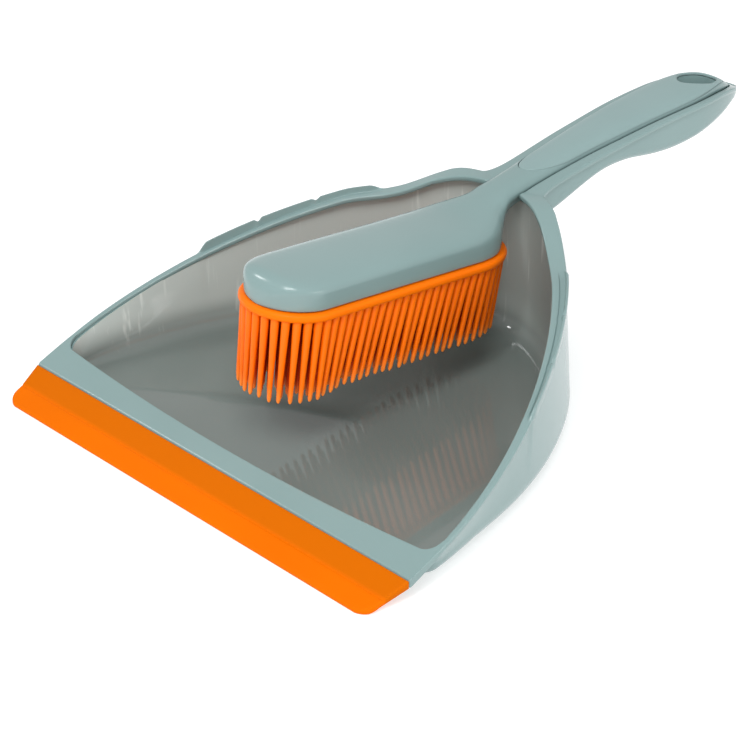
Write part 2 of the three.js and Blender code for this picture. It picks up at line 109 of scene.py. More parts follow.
# Soft lip
LIP_HALF_WIDTH = 105.7
LIP_CREASE_Y = 9.0
LIP_CREASE_Z = 4.3
LIP_GROOVE = 0.28
LIP_GROOVE_WIDTH = 0.55
LIP_CORNER = 7.0
LIP_EDGE_R = 0.7
LIP_FOOT = 3.0

# Pan handle
HANDLE_START_Y = 188.6
HANDLE_WALL = 2.1
HANDLE_NOSE = (45, 1.7)  # length of the rounded tip, and how square it is
FLANGE_START_Y = 186.4
FLANGE_FRONT_WIDTH = 5.0
FLANGE_BACK_WIDTH = 2.9
FLANGE_OVERHANG = 1.0
FLARE = 14.5  # the flange spreads out into the shoulder
FLARE_END_Y = 181.0
FLARE_LENGTH = 4.6
SEAT_START_Y = 182.5
SEAT_GAP = 0.7
SEAT_END_GAP = 1.2
SEAT_FRONT_Z = 66.3  # the seat's floor where the brush's neck enters it
SEAT_HALF_WIDTHS = (8.4, 9.6)  # the back wall's notch, at its floor and at its top

# Brush
HEAD_HALF_WIDTH = 19.5
HEAD_FRONT_Y = 45.0
HEAD_BACK_Y = 150.0
HEAD_BASE_Z = 66.6
HEAD_REF_Y = 70.0
HEAD_SLOPE = -0.125
HEAD_TILT = math.atan(HEAD_SLOPE)
HEAD_ROUNDING = 9.0  # the front of the head is rounded over this length
HEAD_ROUNDING_POWER = 2.4
HEAD_SIDE_HEIGHT = 7.0
HEAD_UNDER_END_Y = 168.0  # behind this the underside drops to the neck's
CROWN_START_Y = 60.0  # in front of this the crown follows the head's rounded front
NECK_Y = 182.0
NECK_FOOT_SHARE = 0.82  # the handle's underside, as a share of its width
NECK_HALF_WIDTH = 8.0
CROSS_POWER = 2.45  # how square the brush's section is
BRUSH_END_Y = 325.8
BRUSH_NOSE = (40, 1.8)
BRUSH_CORNER_R = 0.9
GRIP_HALF_WIDTH = 12.4
GRIP_START_Y = 192.0
GRIP_ROUNDING = 13.0
GRIP_BORDER = 1.1  # plastic left beside the cover at its front
GRIP_EDGE = 0.25  # and further back
GRIP_THICKNESS = 1.6
GRIP_END_Y = 322.3
GRIP_NOSE = (36, 1.8)
GRIP_PROUD = 0.05
GRIP_SOFT_EDGE = 0.5  # the cover's top is rounded over this width
GRIP_SOFT_DROP = 0.35

# Hanging hole
HOLE_Y = 305.0
HOLE_HALF_LENGTH = 11.2
HOLE_HALF_WIDTH = 7.6
HOLE_POWER = 1.15
HOLE_ROUNDING = 0.8

# Flange and bristles
FLANGE_HALF_WIDTH = 21.7
FLANGE_THICKNESS = 3.6
FLANGE_EDGE_R = 1.5
FLANGE_END_Y = 177.0
BRISTLE_DROP = 35.2  # how far the tips hang below the head's underside
BRISTLE_EXTRA = 3.5  # the front ones hang lower by this much
BRISTLE_DEPTH = 0.6  # how far their roots reach into the flange
BRISTLE_PITCH = 4.3
BRISTLE_INSET = 2.6  # from the flange's edge to the outer ring of bristles
BRISTLE_ROOT_R = 1.8
BRISTLE_TIP_R = 0.85
BRISTLE_SIDES = 10
BRISTLE_RINGS = 5
BRISTLE_LEAN = 0.166  # forward lean of the middle ones, as a share of their length
BRISTLE_LEAN_SPREAD = 0.45  # how far a tip strays from its place, in millimetres
BRISTLE_LENGTH_SPREAD = 0.012  # share of the length


# ---- Numbers and curves ----
def lerp(a, b, t):
    return a + (b - a) * t


def ease(a, b, t):
    """0 up to a, 1 from b on, and a smooth step between them."""
    s = np.clip((np.asarray(t, float) - a) / (b - a), 0, 1)
    return s * s * (3 - 2 * s)


def soft_max(a, b, softness):
    """The larger of two values, with the corner between them rounded."""
    return (a + b + np.sqrt((a - b) ** 2 + softness**2)) / 2


def through(*knots):
    """Smooth curve through a few (y, value) points, held level outside them."""
    ks = np.array(knots, float)
    last = len(ks) - 1
    slopes = [
        (ks[min(last, i + 1), 1] - ks[max(0, i - 1), 1]) / (ks[min(last, i + 1), 0] - ks[max(0, i - 1), 0])
        for i in range(last + 1)
    ]

    def value(y):
        y = np.clip(np.asarray(y, float), ks[0, 0], ks[last, 0])
        i = np.clip(np.searchsorted(ks[:, 0], y, side="right") - 1, 0, last - 1)
        width = ks[i + 1, 0] - ks[i, 0]
        t = (y - ks[i, 0]) / width
        m = np.array(slopes)
        ends = lerp(ks[i, 1], ks[i + 1, 1], t * t * (3 - 2 * t))
        return ends + width * t * (1 - t) * ((1 - t) * m[i] - t * m[i + 1])

    return value


def nose(y, end, length, power):
    """Half width of a rounded tip, as a share of the full half width."""
    s = np.clip((np.asarray(y, float) - end + length) / length, 0, 1)
    return (1 - s**power) ** (1 / power)


def nose_ys(end, length, power, steps):
    """Places along a nose, closer together towards its tip."""
    turns = np.linspace(0, math.pi / 2, steps + 1)[1:]
    return end - length + length * np.sin(turns) ** (2 / power)


# ---- Heights and widths that the pan and the brush share ----
def rim_z(y):
    """The rim climbs evenly, dips a little, and then swells up to meet the handle's flange."""
    swell = -RIM_DIP * ease(150, 166, y) + RIM_SWELL * ease(167, 187, y)
    return lerp(LIP_TOP_Z + RIM_SLOPE * np.asarray(y, float) + swell, seam_z(y), ease(180, 189, y))


def rim_thickness(y):
    """Thick at the front ramp, thinner round the rest of the pan."""
    return lerp(RAMP_THICKNESS, RIM_THICKNESS, ease(20, 45, y))


def rim_width(y):
    further_back = np.maximum(0, (np.asarray(y, float) - 35) / 150)
    return RIM_FRONT_WIDTH + RIM_WIDENING * further_back**1.6


def lug(y):
    """1 along the lugs and 0 elsewhere."""
    return ease(LUG_START_Y - 2, LUG_START_Y + 3, y) * (1 - ease(LUG_END_Y - 3, LUG_END_Y + 2, y))


seam_z = through((172, 69.3), (187, 72.3), (207, 75.2), (226, 77.6), (243, 79.2), (262, 80.8),
                 (280, 81.4), (297, 81.3), (311, 80.2), (322, 77.6), (333, 73))
pan_under_z = through((168, 54), (186, 57), (201, 60), (227, 67.7), (243, 68.5), (262, 65.6), (274, 64.5),
                      (286, 64.7), (299, 66), (312, 67.7), (333, 70.6))
crown_z = through((CROWN_START_Y, 80.3), (84, 77.8), (111, 74.6), (136, 71.8), (152, 70.7), (166, 72.4),
                  (180, 75.6), (195, 77.9), (212, 80.3), (232, 82.6), (248, 84), (265, 85), (281, 85.65),
                  (294, 86.14), (304, 85.8), (312, 84), (320, 79.8), (325.8, 75.2))


def lug_rise(y):
    return lerp(LUG_FRONT_RISE, LUG_BACK_RISE, ease(100, 160, y))


def head_plane(y):
    return HEAD_BASE_Z + HEAD_SLOPE * (np.asarray(y, float) - HEAD_REF_Y)


neck_under_z = through((HEAD_UNDER_END_Y, float(head_plane(HEAD_UNDER_END_Y))), (171, 57), (174, 62.5),
                       (178, 66), (200, 68.6), (230, 71.5), (260, 74), (290, 74.8), (308, 74.5), (320, 74),
                       (325.8, 73.6))
head_half_width = through((HEAD_BACK_Y, HEAD_HALF_WIDTH), (157, 18.4), (163, 16), (168, 12.8), (172, 10.2),
                          (177, 8.4), (NECK_Y, NECK_HALF_WIDTH))


def brush_half_width(y):
    return lerp(NECK_HALF_WIDTH, GRIP_HALF_WIDTH, ease(185, 285, y))


def brush_nose(y, spare):
    return nose(y, BRUSH_END_Y + spare, *BRUSH_NOSE)


def seat_half_width(y):
    return (brush_half_width(y) + SEAT_GAP) * brush_nose(y, SEAT_END_GAP)


def flange_half_width(y):
    side = lerp(FLANGE_FRONT_WIDTH, FLANGE_BACK_WIDTH, ease(195, 285, y))
    return (brush_half_width(y) + SEAT_GAP + side) * nose(y, TOTAL_LENGTH, *HANDLE_NOSE)


def flare(y):
    """How far the flange spreads past its width where it meets the rim."""
    return FLARE * np.exp(-np.maximum(np.asarray(y, float) - FLARE_END_Y, 0) / FLARE_LENGTH)


# ---- Meshes ----
class Surface:
    """Collects grids of points in millimetres and makes one mesh of them."""

    def __init__(self):
        self.points = []
        self.faces = []
        self.slots = []

    def add_points(self, points):
        first = len(self.points)
        self.points.extend(np.asarray(points, float).tolist())
        return first

    def grid(self, rows, slot=0):
        """Quads between neighbouring closed rows; returns the first and last rows' point numbers."""
        rows = [np.asarray(r, float) for r in rows]
        count = len(rows[0])
        first = self.add_points(np.concatenate(rows))
        for r in range(len(rows) - 1):
            for i in range(count):
                j = (i + 1) % count
                a, b = first + r * count + i, first + r * count + j
                self.face([a, b, b + count, a + count], slot)
        last = first + (len(rows) - 1) * count
        return list(range(first, first + count)), list(range(last, last + count))

    def face(self, corners, slot=0):
        self.faces.append(corners)
        self.slots.append(slot)

    def fan(self, ring, turned=False, slot=0):
        """Closes a ring of point numbers with triangles round its middle."""
        centre = np.mean([self.points[i] for i in ring], axis=0)
        middle = self.add_points([centre])
        for i, a in enumerate(ring):
            b = ring[(i + 1) % len(ring)]
            self.face([middle, b, a] if turned else [middle, a, b], slot)

    def strip_cap(self, ring, turned=False):
        """Closes a ring whose second half runs back beside its first half."""
        half = len(ring) // 2
        for i in range(half - 1):
            quad = [ring[i], ring[i + 1], ring[-2 - i], ring[-1 - i]]
            self.face(quad[::-1] if turned else quad)

    def object(self, name, materials, crease_deg=38):
        places = (np.array(self.points) * MM) + [0, LIP_Y, 0]
        mesh = bpy.data.meshes.new(name)
        mesh.from_pydata(places.tolist(), [], self.faces)
        for material in materials:
            mesh.materials.append(material)
        mesh.polygons.foreach_set("material_index", self.slots)
        bm = bmesh.new()
        bm.from_mesh(mesh)
        bmesh.ops.remove_doubles(bm, verts=bm.verts, dist=2e-6)
        bmesh.ops.dissolve_degenerate(bm, edges=bm.edges, dist=2e-6)
        bmesh.ops.recalc_face_normals(bm, faces=bm.faces)
        bm.to_mesh(mesh)
        bm.free()
        smooth(mesh, crease_deg)
        made = bpy.data.objects.new(name, mesh)
        bpy.context.scene.collection.objects.link(made)
        return made


def capped(name, rings, material, strips=False, crease_deg=38):
    """An object from closed rings, capped at both ends with fans or with strips."""
    surface = Surface()
    start, end = surface.grid(rings)
    cap = surface.strip_cap if strips else surface.fan
    cap(start, turned=True)
    cap(end)
    return surface.object(name, [material], crease_deg)


def smooth(mesh, crease_deg):
    mesh.shade_smooth()
    mesh.set_sharp_from_angle(angle=math.radians(crease_deg))


def applied(obj):
    """Turns an object's modifiers into mesh."""
    graph = bpy.context.evaluated_depsgraph_get()
    mesh = bpy.data.meshes.new_from_object(obj.evaluated_get(graph))
    obj.modifiers.clear()
    obj.data = mesh
    return obj


def cut(obj, cutter, crease_deg=38):
    modifier = obj.modifiers.new("cut", "BOOLEAN")
    modifier.operation = "DIFFERENCE"
    modifier.solver = "EXACT"
    modifier.object = cutter
    applied(obj)
    smooth(obj.data, crease_deg)


def joined(name, objects):
    """One object out of several, keeping each one's materials."""
    materials = []
    bm = bmesh.new()
    for obj in objects:
        start = len(bm.faces)
        bm.from_mesh(obj.data)
        bm.faces.ensure_lookup_table()
        for face in bm.faces[start:]:
            material = obj.data.materials[face.material_index]
            if material not in materials:
                materials.append(material)
            face.material_index = materials.index(material)
    mesh = bpy.data.meshes.new(name)
    for material in materials:
        mesh.materials.append(material)
    bm.to_mesh(mesh)
    bm.free()
    for obj in objects:
        bpy.data.objects.remove(obj)
    made = bpy.data.objects.new(name, mesh)
    bpy.context.scene.collection.objects.link(made)
    return made


# ---- Materials ----
DRIFT_SCALE = 22  # slow changes of colour
PATCH_SCALE = 45  # patches of more and less gloss
GRAIN_STRENGTH = 0.6
NOISE_SPAN = (0.2, 0.8)  # nearly all of a noise's values lie in here
# Shape of the painted highlight streaks on the scoop's walls
STREAK_TURN = (0.35, 0.3, 0)
STREAK_SCALE = (330, 330, 22)  # long along the wall's height, narrow across it


def noise(nodes, links, place, scale, detail):
    texture = nodes.new("ShaderNodeTexNoise")
    texture.inputs["Scale"].default_value = scale
    texture.inputs["Detail"].default_value = detail
    links.new(place.outputs["Object"], texture.inputs["Vector"])
    return texture


def spread(nodes, links, source, low, high):
    """Maps a noise to the values from low to high."""
    mapped = nodes.new("ShaderNodeMapRange")
    mapped.interpolation_type = "SMOOTHSTEP"
    mapped.inputs["From Min"].default_value = NOISE_SPAN[0]
    mapped.inputs["From Max"].default_value = NOISE_SPAN[1]
    mapped.inputs["To Min"].default_value = low
    mapped.inputs["To Max"].default_value = high
    links.new(source.outputs["Fac"], mapped.inputs["Value"])
    return mapped


def moulded(name, dark, light, roughness, grain_mm, grain_depth_mm, specular=0.5, sheen=0.0):
    """Moulded plastic or rubber: slow colour drift, uneven gloss and a fine grain."""
    material = bpy.data.materials.new(name)
    material.use_nodes = True
    nodes, links = material.node_tree.nodes, material.node_tree.links
    shader = nodes["Principled BSDF"]
    place = nodes.new("ShaderNodeTexCoord")
    drift = noise(nodes, links, place, DRIFT_SCALE, 1)
    tint = nodes.new("ShaderNodeMix")
    tint.data_type = "RGBA"
    tint.inputs["A"].default_value = (*dark, 1)
    tint.inputs["B"].default_value = (*light, 1)
    links.new(spread(nodes, links, drift, 0, 1).outputs["Result"], tint.inputs["Factor"])
    links.new(tint.outputs["Result"], shader.inputs["Base Color"])
    patches = noise(nodes, links, place, PATCH_SCALE, 2)
    gloss = spread(nodes, links, patches, roughness[0], roughness[1])
    links.new(gloss.outputs["Result"], shader.inputs["Roughness"])
    grain = noise(nodes, links, place, 1 / (grain_mm * MM), 2)
    bump = nodes.new("ShaderNodeBump")
    bump.inputs["Strength"].default_value = GRAIN_STRENGTH
    bump.inputs["Distance"].default_value = grain_depth_mm * MM
    links.new(grain.outputs["Fac"], bump.inputs["Height"])
    links.new(bump.outputs["Normal"], shader.inputs["Normal"])
    shader.inputs["Specular IOR Level"].default_value = specular
    shader.inputs["Sheen Weight"].default_value = sheen
    return material


def rising(material, source, low, high, top=1.0):
    """0 up to the low value of the source, and the top value from its high value on."""
    fade = material.node_tree.nodes.new("ShaderNodeMapRange")
    fade.interpolation_type = "SMOOTHSTEP"
    fade.inputs["From Min"].default_value = low
    fade.inputs["From Max"].default_value = high
    fade.inputs["To Max"].default_value = top
    material.node_tree.links.new(source, fade.inputs["Value"])
    return fade.outputs["Result"]


def product(material, one, other):
    times = material.node_tree.nodes.new("ShaderNodeMath")
    times.operation = "MULTIPLY"
    for place, factor in enumerate((one, other)):
        material.node_tree.links.new(factor, times.inputs[place])
    return times.outputs["Value"]


def blend(material, amount, colour):
    """Blends a colour into the material's own by the given amount."""
    nodes, links = material.node_tree.nodes, material.node_tree.links
    shader = nodes["Principled BSDF"]
    base = shader.inputs["Base Color"].links[0].from_socket
    mix = nodes.new("ShaderNodeMix")
    mix.data_type = "RGBA"
    mix.inputs["B"].default_value = (*colour, 1)
    links.new(base, mix.inputs["A"])
    links.new(amount, mix.inputs["Factor"])
    links.new(mix.outputs["Result"], shader.inputs["Base Color"])


def attribute(material, name):
    """Value of an attribute stored on the mesh."""
    node = material.node_tree.nodes.new("ShaderNodeAttribute")
    node.attribute_name = name
    return node.outputs["Fac"]


def streaks(material):
    """Noise for painted highlight streaks that run up and down the walls."""
    nodes, links = material.node_tree.nodes, material.node_tree.links
    place = nodes.new("ShaderNodeTexCoord")
    stretch = nodes.new("ShaderNodeMapping")
    stretch.inputs["Rotation"].default_value = STREAK_TURN
    stretch.inputs["Scale"].default_value = STREAK_SCALE
    links.new(place.outputs["Object"], stretch.inputs["Vector"])
    marks = nodes.new("ShaderNodeTexNoise")
    marks.inputs["Scale"].default_value = 1
    marks.inputs["Detail"].default_value = 2
    links.new(stretch.outputs["Vector"], marks.inputs["Vector"])
    return marks.outputs["Fac"]


def coordinate(material, axis):
    """One coordinate in the part's frame, in metres."""
    nodes, links = material.node_tree.nodes, material.node_tree.links
    place = nodes.new("ShaderNodeTexCoord")
    split = nodes.new("ShaderNodeSeparateXYZ")
    links.new(place.outputs["Object"], split.inputs["Vector"])
    return split.outputs[axis]


grey_plastic = moulded(
    "grey_plastic",
    dark=(0.205, 0.302, 0.298),
    light=(0.220, 0.320, 0.316),
    roughness=(0.17, 0.22),
    grain_mm=0.5,
    grain_depth_mm=0.010,
)
soft_grip = moulded(
    "soft_grip",
    dark=(0.222, 0.325, 0.322),
    light=(0.238, 0.342, 0.340),
    roughness=(0.45, 0.55),
    grain_mm=0.35,
    grain_depth_mm=0.02,
    sheen=0.1,
)
bristle_orange = moulded(
    "bristle_orange",
    dark=(0.93, 0.165, 0.0),
    light=(0.98, 0.185, 0.0),
    roughness=(0.35, 0.45),
    grain_mm=0.5,
    grain_depth_mm=0.02,
    specular=0.1,
)


def scoop_material():
    """Glossy floor in a darker, warmer base colour of painted shade; walls paler with painted light, palest
    on the far side since painted shade darkens the near-side wall; painted highlight streaks on the walls.
    """
    # Painted shade: the whole inside gets a darker, warmer base colour than the grey plastic outside.
    material = moulded(
        "scoop_inside",
        dark=(0.155, 0.185, 0.173),
        light=(0.175, 0.205, 0.192),
        roughness=(0.045, 0.075),
        grain_mm=0.8,
        grain_depth_mm=0.002,
    )
    # Painted light: the walls, above the floor, are blended towards a paler colour than the floor.
    walls = rising(material, coordinate(material, "Z"), 0.003, 0.018)
    shaded_near_side = rising(material, coordinate(material, "X"), -0.03, 0.05)
    blend(material, walls, (0.53, 0.585, 0.555))
    # Painted shade: the near-side (+x) wall, which faces away from the side light, is darkened again.
    blend(material, product(material, walls, shaded_near_side), (0.31, 0.345, 0.325))
    # Painted highlight: pale streaks blended into the walls stand in for glossy reflections.
    painted_highlights = rising(material, streaks(material), 0.60, 0.74, top=0.6)
    blend(material, product(material, walls, painted_highlights), (0.75, 0.80, 0.76))
    return material


def lip_material():
    """Dull orange, with painted shade making it a little darker behind the crease."""
    material = moulded(
        "lip_orange",
        dark=(0.74, 0.140, 0.0),
        light=(0.79, 0.152, 0.0),
        roughness=(0.5, 0.6),
        grain_mm=0.5,
        grain_depth_mm=0.02,
        specular=0.03,
    )
    crease = LIP_Y + LIP_CREASE_Y * MM
    # Painted shade: the facet behind the crease is blended towards a darker orange.
    behind = rising(material, coordinate(material, "Y"), crease - 0.0005, crease + 0.0015)
    blend(material, behind, (0.61, 0.130, 0.0))
    return material


def finger_material():
    """Orange darkened in the inner rings with painted shade, and paler towards the tips."""
    material = moulded(
        "finger_orange",
        dark=(0.90, 0.145, 0.0),
        light=(1.0, 0.180, 0.0),
        roughness=(0.30, 0.40),
        grain_mm=0.5,
        grain_depth_mm=0.02,
        specular=0.2,
    )
    # Painted shade: the inner rings, deep among the bristles, are darkened towards deep red.
    blend(material, rising(material, attribute(material, "ring"), 0, 1, top=0.95), (0.58, 0.035, 0.0))
    blend(material, rising(material, attribute(material, "along"), 0.78, 1, top=0.7), (1.0, 0.30, 0.05))
    return material


scoop_inside = scoop_material()
lip_orange = lip_material()
finger_orange = finger_material()


# ---- Pan: rim and handle flange, one ribbon round the whole pan ----
def rim_curve(steps):
    """Right half of the rim's outer outline, finer round the lugs: x, y and the outward normal."""
    notch_turns = [
        math.asin(((y - RIM_START_Y) / RIM_LENGTH) ** (RIM_POWER / 2))
        for centre in (*LUG_NOTCHES_Y, LUG_START_Y, LUG_END_Y)
        for y in np.arange(centre - 3, centre + 3.1, 0.4)
    ]
    turns = np.unique(np.concatenate([np.linspace(0.02, math.pi / 2 - 0.002, steps), notch_turns]))

    def at(t):
        c, s = np.maximum(0, np.cos(t)), np.sin(t)
        return PAN_HALF_WIDTH * c ** (2 / RIM_POWER), RIM_START_Y + RIM_LENGTH * s ** (2 / RIM_POWER)

    (ax, ay), (bx, by) = at(turns - 0.002), at(turns + 0.0015)
    length = np.hypot(bx - ax, by - ay)
    x, y = at(turns)
    return x, y, (by - ay) / length, (ax - bx) / length


RIM = rim_curve(150)


def front_half(front_y, corner, side_x, bow=SCOOP_BOW):
    """Right half of an outline's front: a gently bowed edge and a rounded corner."""
    corner = corner - bow / 2
    xs = np.linspace(0, 1, 16) ** 0.9 * (side_x - corner)
    edge = np.stack([xs, front_y + bow * ((xs / xs[-1]) ** 2 - 0.5)], 1)
    turns = np.linspace(0, math.pi / 2, 12)[1:]
    along = front_y + bow / 2 + corner * (1 - np.cos(turns))
    arc = np.stack([side_x - corner * (1 - np.sin(turns)), along], 1)
    return np.concatenate([edge, arc])


def notch(y):
    """1 in the middle of a notch between two lugs and 0 outside the notches."""
    y = np.asarray(y, float)
    return sum(np.clip(1 - np.abs(y - c) / NOTCH_HALF_WIDTH, 0, 1) for c in LUG_NOTCHES_Y)


def by_distance(x, y, count):
    """count points spaced evenly along a polyline."""
    run = np.concatenate([[0], np.cumsum(np.hypot(np.diff(x), np.diff(y)))])
    places = np.linspace(0, run[-1], count)
    return np.stack([np.interp(places, run, x), np.interp(places, run, y)], 1)


def ribbon_line(share):
    """Right half of a line round the pan, from the middle of its front to the handle's tip."""
    front_y = lerp(BAND_FRONT_Y, SCOOP_FRONT_Y, share)
    corner = lerp(BAND_CORNER, SCOOP_CORNER, share)
    rx, ry, nx, ny = RIM
    inset = rim_width(ry) * share
    ox, oy = rx - inset * nx, ry - inset * ny
    side_x = PAN_HALF_WIDTH - float(rim_width(front_y + corner)) * share
    front = front_half(front_y, corner, side_x, SCOOP_BOW * share)
    side_ys = np.linspace(front_y + corner, oy[0], 6)[1:-1]
    side = np.stack([np.full_like(side_ys, side_x), side_ys], 1)
    on_rim = ry <= SHOULDER_Y
    rim = np.stack([ox[on_rim], oy[on_rim]], 1)
    order = np.argsort(oy)
    half_width = flange_half_width if share < 0.5 else seat_half_width

    def spread_width(y):
        return half_width(y) + flare(y) * (1 - share)

    edge_y = lerp(FLANGE_START_Y, SEAT_START_Y, share)
    ys = np.linspace(rim[-1, 1], edge_y, 60)
    widths = soft_max(np.interp(ys, oy[order], ox[order]), spread_width(ys), SHOULDER_SOFTNESS)
    shoulder = by_distance(widths, ys, 26)[1:]
    shoulder[:, 0] += (rim[-1, 0] - widths[0]) * np.linspace(1, 0, 25)
    end = lerp(TOTAL_LENGTH, BRUSH_END_Y + SEAT_END_GAP, share)
    length, power = HANDLE_NOSE if share < 0.5 else BRUSH_NOSE
    along = edge_y + (end - length - edge_y) * np.linspace(0, 1, 60)[1:] ** 1.4
    ys = np.concatenate([along, nose_ys(end, length, power, 26)])
    under_rim = np.interp(ys, oy[order], ox[order], right=0)
    widths = soft_max(spread_width(ys), under_rim, SHOULDER_SOFTNESS * float(np.exp(-1)))
    fade = 1 - ease(edge_y, edge_y + 12, ys)
    widths = lerp(spread_width(ys), widths, fade)
    handle = np.stack([widths, ys], 1)
    handle[-1, 0] = 0
    return np.concatenate([front, side, rim, shoulder, handle])


def ribbon():
    """The rim with its lugs, the front band and the handle's flange as one closed ribbon."""
    outer, inner = ribbon_line(0), ribbon_line(1)
    across = inner - outer
    width = np.hypot(across[:, 0], across[:, 1])
    across = across / width[:, None]
    y = outer[:, 1]
    has_lug = lug(y) * (1 - NOTCH_BULGE_LOSS * notch(y))
    bulge = LUG_BULGE * has_lug
    full = width + bulge
    thick = rim_thickness(y)
    ledge_end = LEDGE_SHARE * full
    fin_end = 0.3 * full + 0.6  # keeps the rows in order where the rim is narrow

    def height(s):
        """How far the fin rises and the ledge behind it sinks at the distance s from the edge."""
        past_fin = ease(FIN_WIDTH, FIN_FOOT_WIDTH, s)
        ledge = past_fin * (1 - ease(0, LEDGE_EDGE, s - ledge_end + LEDGE_EDGE))
        fin = lug_rise(y) * (1 - past_fin) * (1 - NOTCH_DEPTH * notch(y))
        return lug(y) * (fin - LUG_RECESS * ledge)

    rows = []

    def row(s, drop, rise=None):
        """A line along the ribbon at the distance s from its edge, below the rim's top by drop."""
        plan = outer + across * (s - bulge)[:, None]
        lean = np.clip((s - bulge) / width, 0, 1) * (1 - ease(60, 100, outer[:, 1]))
        rise = height(s) if rise is None else rise
        z = rim_z(lerp(outer[:, 1], inner[:, 1], lean)) + rise - drop
        rows.append(np.stack([plan[:, 0], plan[:, 1], z], 1))

    ones = np.ones_like(width)
    row(0.4 * ones, thick, 0)
    row(0.08 * ones, thick - 0.3, 0)
    row(0 * ones, thick - 0.7, 0)
    for turn in np.linspace(0, math.pi / 2, 6):
        row(RIM_EDGE_R * (1 - math.cos(turn)) * ones, RIM_EDGE_R * (1 - math.sin(turn)))
    for step in (1.0, 1.15, 1.3, 1.45):
        row(np.minimum(step, fin_end), 0)
    for t in np.linspace(0, 1, 6)[1:]:
        row(lerp(np.minimum(1.45, fin_end), np.maximum(ledge_end - LEDGE_EDGE, 1.5), t), 0)
    for step in (0.35, 0.2, 0.05):
        row(np.maximum(ledge_end - step, 1.55 - 0.1 * step), 0)
    for t in np.linspace(0, 1, 5)[:-1]:
        row(lerp(np.maximum(ledge_end, 1.6), full - RIM_BROW_R, t), 0)
    for turn in np.linspace(0, math.pi / 2, 5):
        row(full - RIM_BROW_R * (1 - math.sin(turn)), RIM_BROW_R * (1 - math.cos(turn)))
    row(full, thick - 0.5)
    row(full - 0.3, thick)
    surface = Surface()
    closed = [mirrored(r) for r in rows]
    surface.grid([*closed, closed[0]])
    return surface.object("ribbon", [grey_plastic])


def mirrored(half):
    """A closed ring from its right half, whose ends lie on the middle plane."""
    other = half[1:-1][::-1].copy()
    other[:, 0] *= -1
    ring = np.concatenate([half, other])
    ring[0, 0] = 0
    ring[len(half) - 1, 0] = 0
    return ring


# ---- Pan: scoop walls and floor ----
def cove_radius(y):
    return np.clip(COVE_SHARE * rim_z(y), *COVE_R_LIMITS)


def wall_top_inset(y):
    return WALL_TOP_INSET - LUG_BULGE * lug(y)


# Below the rim the wall leans in at the front of the pan and bulges out at its back.
cove_top_inset = through((38, 4), (55, 3.9), (72, 3.2), (90, 1.7), (109, 0.1), (133, -1.6), (150, -2.7),
                         (168, -2.7), (180, -0.5), (191, 0))


def pan_ring(inset, z, front_y, corner):
    """A closed ring that follows the rim's outline, set in from it by inset(y), at the height z(y, x)."""
    side_x = PAN_HALF_WIDTH - float(inset(front_y + corner))
    front = front_half(front_y, corner, side_x)
    rx, ry, nx, ny = RIM
    rim = np.stack([rx - inset(ry) * nx, ry - inset(ry) * ny], 1)
    at = np.concatenate([front[:, 1], ry, [RIM_START_Y + RIM_LENGTH]])
    back = [[0, RIM_START_Y + RIM_LENGTH - float(inset(RIM_START_Y + RIM_LENGTH))]]
    plan = np.concatenate([front, rim, back])
    heights = np.broadcast_to(z(at, plan[:, 0]), at.shape)
    return mirrored(np.column_stack([plan, heights]))


def scoop():
    """Walls and floor of the scoop; its top edge is buried in the ribbon."""

    def cove(turn, extra, floor_z, front_y):
        """A ring part of the way down the cove, from upright at no turn to flat at a quarter turn."""
        shift = FLOOR_INSET * (1 - math.cos(turn))
        return pan_ring(
            lambda y: cove_top_inset(y) + extra + (cove_radius(y) - extra) * (1 - math.cos(turn)),
            lambda y, x: floor_z + (cove_radius(y) - extra) * (1 - math.sin(turn)),
            front_y + shift,
            CORNER_END_Y - front_y - shift,
        )

    def wall(extra, front_y, share, cove_ring):
        """A ring part of the way from the top of the cove to the top of the wall."""
        def top(y, x):
            rim = rim_z(y) - rim_thickness(y) + WALL_BURIED
            seat = lerp(SEAT_FRONT_Z - 0.3, rim, ease(*SEAT_HALF_WIDTHS, np.abs(x)))
            return np.where(y > 170, seat, rim)

        edge = pan_ring(lambda y: wall_top_inset(y) + extra, top, front_y, CORNER_END_Y - front_y)
        return lerp(cove_ring, edge, share)

    turns = np.linspace(0, math.pi / 2, 12)
    outer = [cove(t, 0, 0, SCOOP_FRONT_Y - WALL + 1) for t in turns[::-1]]
    outer += [wall(0, SCOOP_FRONT_Y - WALL, s, outer[-1]) for s in (0.25, 0.5, 0.75, 1)]
    inner = [cove(t, WALL, FLOOR_Z, SCOOP_FRONT_Y + 1) for t in turns]
    upper = [wall(WALL, SCOOP_FRONT_Y + 0.1, s, inner[0]) for s in (1, 0.75, 0.5, 0.25)]
    surface = Surface()
    surface.grid([*outer, upper[0]])
    shrink(surface, outer[0], 0)
    surface.grid([*upper, *inner], slot=1)
    shrink(surface, inner[-1], 1)
    return surface.object("scoop", [grey_plastic, scoop_inside])


def shrink(surface, ring, slot):
    """Closes a flat ring with rings that shrink towards its middle."""
    middle = np.array([0, SCOOP_MIDDLE_Y, ring[0, 2]])
    rings = [lerp(ring, middle, s) for s in (0, 0.03, 0.1, 0.25, 0.45, 0.7, 0.9)]
    _, middle_ring = surface.grid(rings, slot=slot)
    surface.fan(middle_ring, slot=slot)


# ---- Pan: hollow handle ----
def hull_half(y, half_width, low, high, radius):
    """Right half of a trough's section, from its top edge down to its middle."""
    radius = min(radius, 0.6 * half_width, 0.45 * (high - low))
    side = [[half_width, lerp(high, low + radius, t)] for t in (0, 0.35, 0.7)]
    turns = np.linspace(0, math.pi / 2, 9)
    arc = [[half_width - radius * (1 - math.cos(t)), low + radius * (1 - math.sin(t))] for t in turns]
    flat = [[(half_width - radius) * t, low] for t in (0.66, 0.33, 0)]
    return [(x, y, z) for x, z in [*side, *arc, *flat]]


def both_sides(half):
    """A whole section from its right half, which ends on the middle plane."""
    return [*half, *[(-x, y, z) for x, y, z in half[-2::-1]]]


